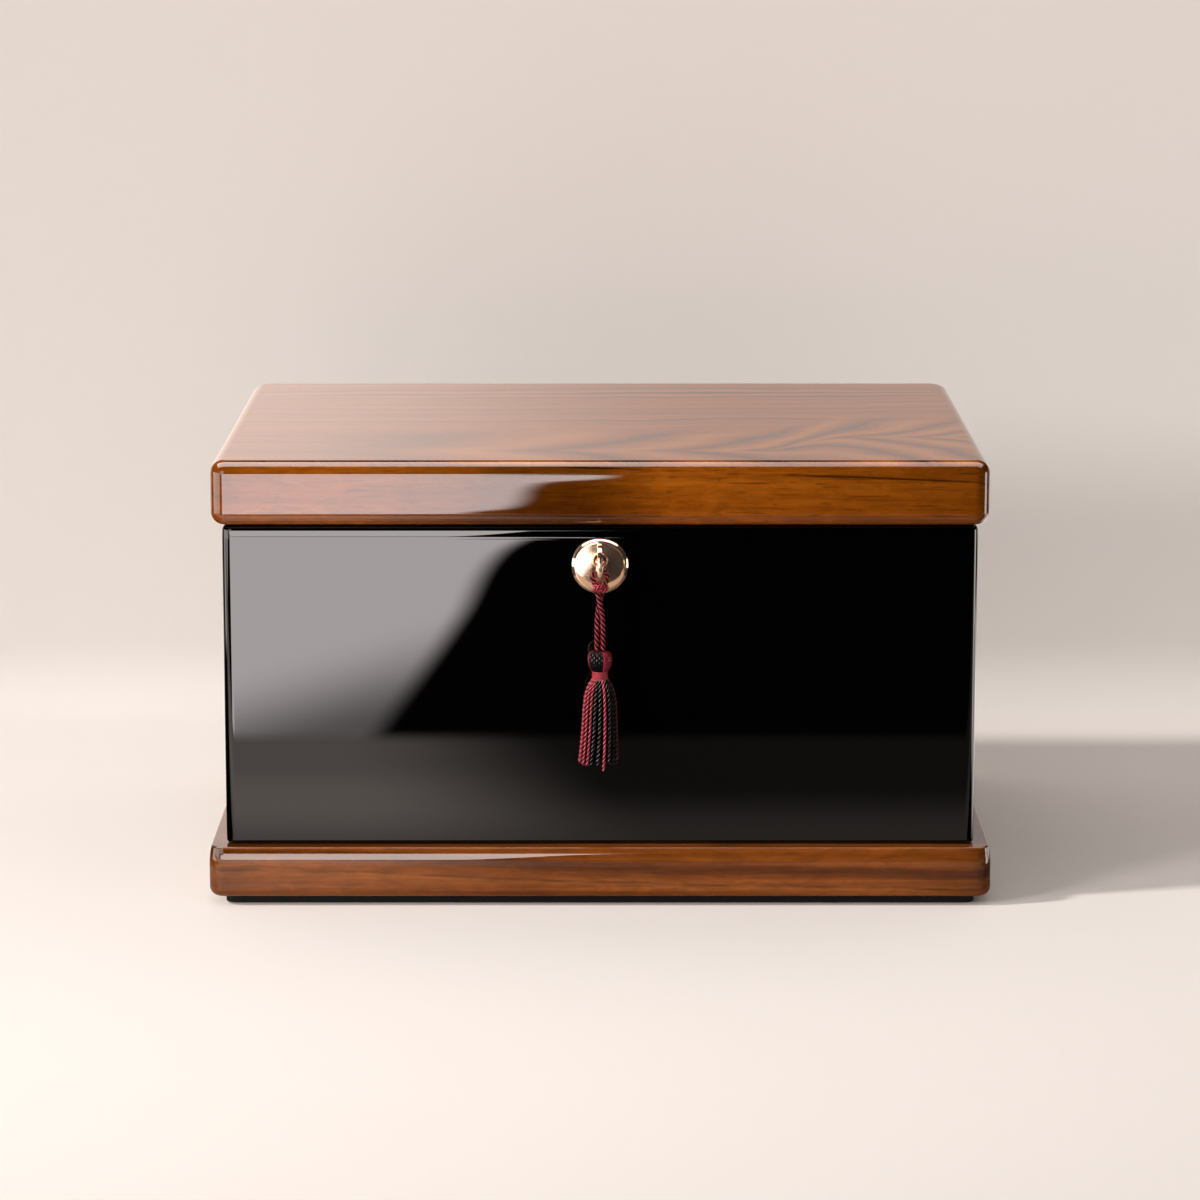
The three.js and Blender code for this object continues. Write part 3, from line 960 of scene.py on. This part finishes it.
def panel_relief(degrees, share):
    """How far a panel stands out, the height within its threads that the silk paints as highlight and
    shade, and whether it is woven.
    """
    angle = (degrees - PANEL_EDGES[0]) % 360 + PANEL_EDGES[0]
    panel = sum(angle >= edge for edge in PANEL_EDGES) - 1
    low, high = PANEL_EDGES[panel], PANEL_EDGES[panel + 1]
    near_edge = min(angle - low, high - angle)
    seam = -0.32 * exp(-((near_edge / 4) ** 2))
    over = (angle - low) / (high - low)
    woven = panel % 2 == 0
    if woven:
        column = over * 7
        row = share * 4.0 + 0.5 * (int(column) % 2)
        crest = abs(sin(pi * column)) * abs(sin(pi * row)) ** 0.6
        # painted shade: the weave's crests dim towards the head's foot, which faces away from the light
        painted_shade_to_foot = 0.62 + 0.38 * min(1, max(0, 2.6 * share - 0.5))
        return (seam + 0.3 * crest - 0.15) * MM, (0.2 + 0.8 * crest) * painted_shade_to_foot, woven
    crest = abs(sin(pi * over * 24))
    swell = 0.2 * sin(pi * over)
    return (seam + 0.03 * crest + swell) * MM, 0.88 + 0.03 * crest, woven


def make_head():
    """The bound head, in alternate panels of black weave and burgundy satin."""
    around, rows = 288, 84
    points, woven_at, crests = [], [], []
    for row in range(rows + 1):
        share = row / rows
        height = HEAD_LOW.z + (HEAD_HIGH.z - HEAD_LOW.z) * share
        for i in range(around):
            degrees = 360 * i / around
            stand_out, crest, woven = panel_relief(degrees, share)
            radius = between(HEAD_STATIONS, share) * MM + stand_out * min(1, 6 * share, 6 * (1 - share))
            angle = radians(degrees - 90)
            points.append((radius * cos(angle), TASSEL_Y + radius * sin(angle), height))
            woven_at.append(woven)
            crests.append(crest)
    head = mesh_piece("tassel_bound_head", points, ring_faces(rows + 1, around))
    # the crest values set the silk's painted highlights and shade
    head.data.attributes.new("crest", "FLOAT", "POINT").data.foreach_set("value", crests)
    finish_piece(head, "two_colour_silk", "tassel_head", BURGUNDY_SILK, WOVEN_SILK)
    for face in head.data.polygons:
        face.material_index = int(woven_at[face.vertices[0]] and face.loop_total == 4)
    return head


def make_neck():
    """Silk thread wound close round the neck, over a core."""
    thread, pitch = 0.25 * MM, 0.43 * MM
    core_radius = NECK_HIGH.x - 2 * thread
    lay = core_radius + 0.05 * MM
    low = Vector((0, TASSEL_Y, NECK_LOW.z + thread * 0.6))
    high = Vector((0, TASSEL_Y, HEAD_LOW.z + thread * 0.4))
    past = Vector((0, 0, MM))
    wrap = twisted("tassel_neck_wrap", [[low, high]], BURGUNDY_SILK, 1, thread, lay, pitch, 8, pitch / 40)
    core_line = [low - past, high + past]
    core = twisted("tassel_neck_core", [core_line], BURGUNDY_SILK, 1, core_radius, 0.0, pitch, 32, MM)
    for piece in (core, wrap):
        finish_piece(piece, "burgundy_silk", "tassel_neck")
    return wrap, core


# One letter for each outer strand, from the left edge round by the front: red, black, and black (d) or red
# (w) darkened with painted shade on the right, away from the light
STRAND_ORDER = "rrrbbrbddw" + "dbrrbbrbbr"
LONGEST_STRAND = 5
# The first strand's angle, and where the outer and inner strands end, in millimetres
FIRST_STRAND, OUTER_END, INNER_END = -72, 59.2, 59.4


def strand_line(rng, degrees, inset, end):
    """One strand: out of the neck, over the flare and straight down, with a little sway."""
    sway = rng.uniform(-2.5, 2.5)
    drift = rng.uniform(-0.25, 0.25)
    top = SKIRT_HIGH.z / MM + 0.9
    line = []
    steps = 22
    for i in range(steps + 1):
        fall = (i / steps) ** 1.5
        flare = 1 - exp(-fall / 0.11)
        spread = 2.35 + (3.55 + drift) * flare + 0.85 * fall - inset * min(1, 2.2 * flare)
        angle = radians(degrees + sway * fall)
        swing = -1.2 * fall ** 3 * min(1, 1.1 - sin(angle))
        x = spread * sin(angle) + swing
        line.append(tassel_point(x, -spread * cos(angle), top + (end - top) * fall))
    return smooth_route(line, 3)


def make_skirt():
    """Two-ply silk strands: an outer row in two colours, its right-hand strands darkened with painted
    shade, round inner ones in near-black painted shade.
    """
    rng = random.Random(7)
    lines = {kind: [] for kind in "rbdwi"}
    for i, colour in enumerate(STRAND_ORDER):
        degrees = FIRST_STRAND + 360 / len(STRAND_ORDER) * i
        end = OUTER_END + rng.uniform(-0.9, 0.7)
        if i == LONGEST_STRAND:
            end = SKIRT_LOW.z / MM + 0.5
        lines[colour].append(strand_line(rng, degrees, 0.0, end))
    for count, inset in ((16, 1.3), (8, 3.2)):
        for i in range(count):
            end = INNER_END + rng.uniform(-0.6, 0.8)
            lines["i"].append(strand_line(rng, 360 / count * i + 9, inset, end))
    made = []
    for colour, name, material in (
        ("r", "tassel_burgundy_strands", STRAND_SILK),
        ("w", "tassel_red_strands_painted_shade", SHADED_RED_SILK),
        ("b", "tassel_black_strands", BLACK_SILK),
        ("d", "tassel_black_strands_painted_shade", SHADED_BLACK_SILK),
        ("i", "tassel_inner_strands", INNER_SHADED_SILK),
    ):
        strands = twisted(name, lines[colour], material, 2, 0.26 * MM, 0.27 * MM, 3.6 * MM, 8, tip=0.8)
        made.append(finish_piece(strands, "two_colour_silk", "tassel_skirt"))
    return made


# Stage

BACKDROP_Y = 0.262
COVE = 0.03


def stage_mesh(name, points, faces, material):
    made = mesh_piece(name, points, faces)
    made.data.materials.append(material)
    return made


def make_backdrop():
    """A pale floor and backdrop, seen only from their fronts, and a floor beyond."""
    material, tree, output = blank_material("pale_backdrop")
    front = field(tree, "BsdfDiffuse", {"Color": (0.87, 0.83, 0.805, 1)})
    behind = field(tree, "BsdfTransparent")
    facing = field(tree, "NewGeometry", output="Backfacing")
    feed(output, {"Surface": field(tree, "MixShader", {0: facing, 1: front, 2: behind})})
    half, bend_y = 4.0, BACKDROP_Y - COVE
    profile = [(-half, 0.0), (bend_y, 0.0)]
    for i in range(1, 9):
        angle = TURN / 4 * i / 8
        profile.append((bend_y + COVE * sin(angle), COVE - COVE * cos(angle)))
    profile.append((BACKDROP_Y, 3.0))
    points = [(x, y, z) for y, z in profile for x in (-half, half)]
    faces = [(2 * i, 2 * i + 1, 2 * i + 3, 2 * i + 2) for i in range(len(profile) - 1)]
    beyond = [(-half, bend_y, 0), (half, bend_y, 0), (half, half, 0), (-half, half, 0)]
    stage_mesh("backdrop", points, faces, material).visible_glossy = False
    stage_mesh("floor_beyond", beyond, [(0, 1, 2, 3)], material).visible_glossy = False


def card(name, corner, side, rise, colour, level, cover=None):
    """A light card seen only in reflections: its light and cover follow its own two sides."""
    corner, side, rise = Vector(corner), Vector(side), Vector(rise)
    material, tree, output = blank_material(name)
    across, up, _ = split(field(tree, "UVMap", uv_map="card"))
    strength = level(across, up) if callable(level) else level
    shader = field(tree, "Emission", {"Color": (*colour, 1), "Strength": strength})
    if cover:
        clear = field(tree, "BsdfTransparent")
        shader = field(tree, "MixShader", {0: cover(across, up), 1: clear, 2: shader})
    feed(output, {"Surface": shader})
    corners = [corner, corner + side, corner + side + rise, corner + rise]
    made = stage_mesh(name, corners, [(0, 1, 2, 3)], material)
    layer = made.data.uv_layers.new(name="card")
    for loop, place in zip(layer.data, ((0, 0), (1, 0), (1, 1), (0, 1))):
        loop.uv = place
    for ray in ("camera", "diffuse", "shadow", "transmission"):
        setattr(made, "visible_" + ray, False)


def soft_panel(strength, soft):
    """An even card that fades over a share of its width and height at every edge."""
    def level(across, up):
        sides = span(across, 0.0, soft) * span(across, 1.0, 1.0 - soft)
        return sides * span(up, 0.0, soft) * span(up, 1.0, 1.0 - soft, 0.0, strength)
    return level


CARD_LEFT, CARD_WIDTH = -1.2, 1.28
CARD_LOW, CARD_HEIGHT = -1.0, 0.865
EDGE_LOW, EDGE_RUN = -0.42, 0.27
EDGE_LEFT, EDGE_SPREAD = -0.25, 0.3

# The right edge of the front card: height and place, first as the box mirrors it and then as the lid does
FRONT_EDGE = [
    (-0.42, -0.2155), (-0.29, -0.124), (-0.2375, -0.0932), (-0.2231, -0.0712), (-0.215, -0.045),
    (-0.2, -0.125), (-0.1929, -0.0817), (-0.188, -0.0705), (-0.1742, -0.0615), (-0.1688, -0.0404),
    (-0.1643, 0.009), (-0.15, -0.06),
]


def front_level(across, up):
    """Even at the left and top, with a curved right edge and a fading foot."""
    x = across * CARD_WIDTH + CARD_LEFT
    z = up * CARD_HEIGHT + CARD_LOW
    places = [((high - EDGE_LOW) / EDGE_RUN, (out - EDGE_LEFT) / EDGE_SPREAD) for high, out in FRONT_EDGE]
    edge = curve((z - EDGE_LOW) / EDGE_RUN, places) * EDGE_SPREAD + EDGE_LEFT
    return span(x - edge, 0.016, -0.016) * span(x * -0.29 + z, -0.33, -0.243, 1.9, 9.1)


def strip_level(across, up):
    """Tapers to a point at its right end."""
    rise = up - span(across, 0.86, 0.98, 0.0, 0.95)
    return span(across, 1.0, 0.96) * span(rise, 0.0, 0.06, 0.0, 9.6)


def overhead_level(across, up):
    return span(across, 0.4, 0.6, 8.8, 4.9) * span(up, 0.0, 0.05) * span(up, 1.0, 0.94)


def rear_level(across, up):
    return span(across, 0.42, 0.53, 1.26, 0.63) * span(up, 1.0, 0.96)


def floor_level(across, up):
    """Lit at the left, falling softly to the right, and a little lighter near the chest."""
    lit = span(across, up * 0.03 + 0.489, up * 0.011 + 0.437)
    left = span(up, 0.3, 0.58, 1.62, 2.12) - span(up, 0.65, 1.0, 0.0, 0.9)
    right = span(up, 0.5, 0.87, 0.11, 0.44)
    return lit * (left - right) + right


def floor_cover(across, up):
    return span(up, 0.0, 0.15)


def near_floor_level(across, up):
    return span(across, 0.045, 0.5, 1.3, 0.3) * span(up, 0.334, 0.486, 1.0, 0.35)


def make_cards():
    """What the polished surfaces mirror."""
    warm, pale, mauve, amber = (1.0, 0.92, 0.88), (1.0, 0.86, 0.79), (1.0, 0.905, 0.905), (1.0, 0.82, 0.68)
    # front left, mirrored by the front faces
    width, height = (CARD_WIDTH, 0, 0), (0, 0, CARD_HEIGHT)
    card("front_left_card", (CARD_LEFT, -2.2, CARD_LOW), width, height, mauve, front_level)
    # above it, mirrored by the upper edges
    card("strip_card", (-1.3, -2.199, -0.14), (1.35, 0, 0), (0, 0, 0.31), warm, strip_level)
    # higher and further left, mirrored by the lock plate
    card("upper_left_card", (-1.9, -2.0, 0.1), (1.5, 0, 0), (0, 0, 1.1), warm, soft_panel(3.2, 0.08))
    # low in front, mirrored by the lock plate's bevel
    card("low_card", (-0.6, -2.19, -0.8), (1.2, 0, 0), (0, 0, 0.4), amber, soft_panel(0.58, 0.05))
    # overhead, mirrored by the upper edges
    card("overhead_card", (-1.6, -0.7, 1.65), (3.2, 0, 0), (0, 1.6, 0), warm, overhead_level)
    # behind, mirrored by the lid's top
    card("rear_card", (-1.6, 0.92, -0.1), (3.2, 0, 0), (0, 0, 0.46), pale, rear_level)
    # floor in front, mirrored by the lower front and the plinth
    card("floor_card", (-1.0, -0.43, -0.001), (2.0, 0, 0), (0, 0.235, 0), pale, floor_level, floor_cover)
    card("near_floor_card", (-0.22, -0.195, -0.001), (0.44, 0, 0), (0, 0.145, 0), pale, near_floor_level)
    # floor at the right, mirrored by the right corners
    soft = soft_panel(1.0, 0.15)
    card("right_floor_card", (0.2, -0.1, -0.0005), (0.55, 0, 0), (0, 0.45, 0), warm, 2.4, soft)
    # floor behind, mirrored by the back
    softer = soft_panel(1.0, 0.3)
    card("rear_floor_card", (-0.8, 0.12, -0.001), (1.6, 0, 0), (0, 0.9, 0), pale, 0.9, softer)
    # sides, mirrored by the corners and ends
    card("left_card", (-1.6, 0.25, -0.2), (0, -2.1, 0), (0, 0, 0.52), warm, soft_panel(4.5, 0.05))
    card("right_card", (1.7, -0.3, -0.32), (0, 0.65, 0), (0, 0, 0.62), warm, soft_panel(6.0, 0.1))


def point_along(made, place, direction):
    """Puts a light or a camera at a place, looking along a direction."""
    made.location = place
    made.rotation_mode = "QUATERNION"
    made.rotation_quaternion = direction.to_track_quat("-Z", "Y")


def make_lights():
    """Soft studio light: a large key from the left and an even fill."""
    def area(name, place, aim, size, power, colour, spread=180):
        data = bpy.data.lights.new(name, "AREA")
        data.shape = "DISK"
        data.size = size
        data.energy = power
        data.color = colour
        data.spread = radians(spread)
        light = new_object(name, data)
        light.visible_glossy = False
        point_along(light, place, Vector(aim) - Vector(place))

    area("key_light", (-6.44, -1.82, 4.62), (0, 0, 0.08), 0.9, 470, (1.0, 0.95, 0.9))
    area("fill_light", (-0.3, -2.0, 2.1), (0, 0, 0.1), 2.4, 8, (1.0, 0.96, 0.93))
    area("side_light", (-0.95, -0.9, 0.55), (0, -0.1, 0.08), 0.4, 0.7, (1.0, 0.95, 0.9), 50)
    world = bpy.data.worlds.new("studio")
    SCENE.world = world
    world.use_nodes = True
    feed(world.node_tree.nodes["Background"], {"Color": (1.0, 0.95, 0.92, 1), "Strength": 0.32})
    world.cycles_visibility.glossy = False


def make_camera():
    """The camera at the photograph's angle."""
    data = bpy.data.cameras.new("camera")
    data.lens = CAMERA_LENS
    data.sensor_width = 36
    camera = new_object("camera", data)
    back = Vector((0, -cos(CAMERA_ELEVATION), sin(CAMERA_ELEVATION)))
    point_along(camera, CAMERA_AIM + back * CAMERA_DISTANCE, -back)
    SCENE.camera = camera


make_camera()
cord, cord_route = make_cord()
knot = make_knot()
head = make_head()
neck_wrap, neck_core = make_neck()
strands = make_skirt()
make_lid()
make_body()
make_plinth()
make_pad()
make_lock_plate()
make_key()
make_backdrop()
make_cards()
make_lights()

# Plain colours and a clean picture
SCENE.view_settings.view_transform = "Standard"
SCENE.view_settings.look = "None"
SCENE.cycles.use_denoising = True
SCENE.cycles.sample_clamp_indirect = 6.0

cord_length = sum((b - a).length for a, b in zip(cord_route, cord_route[1:]))
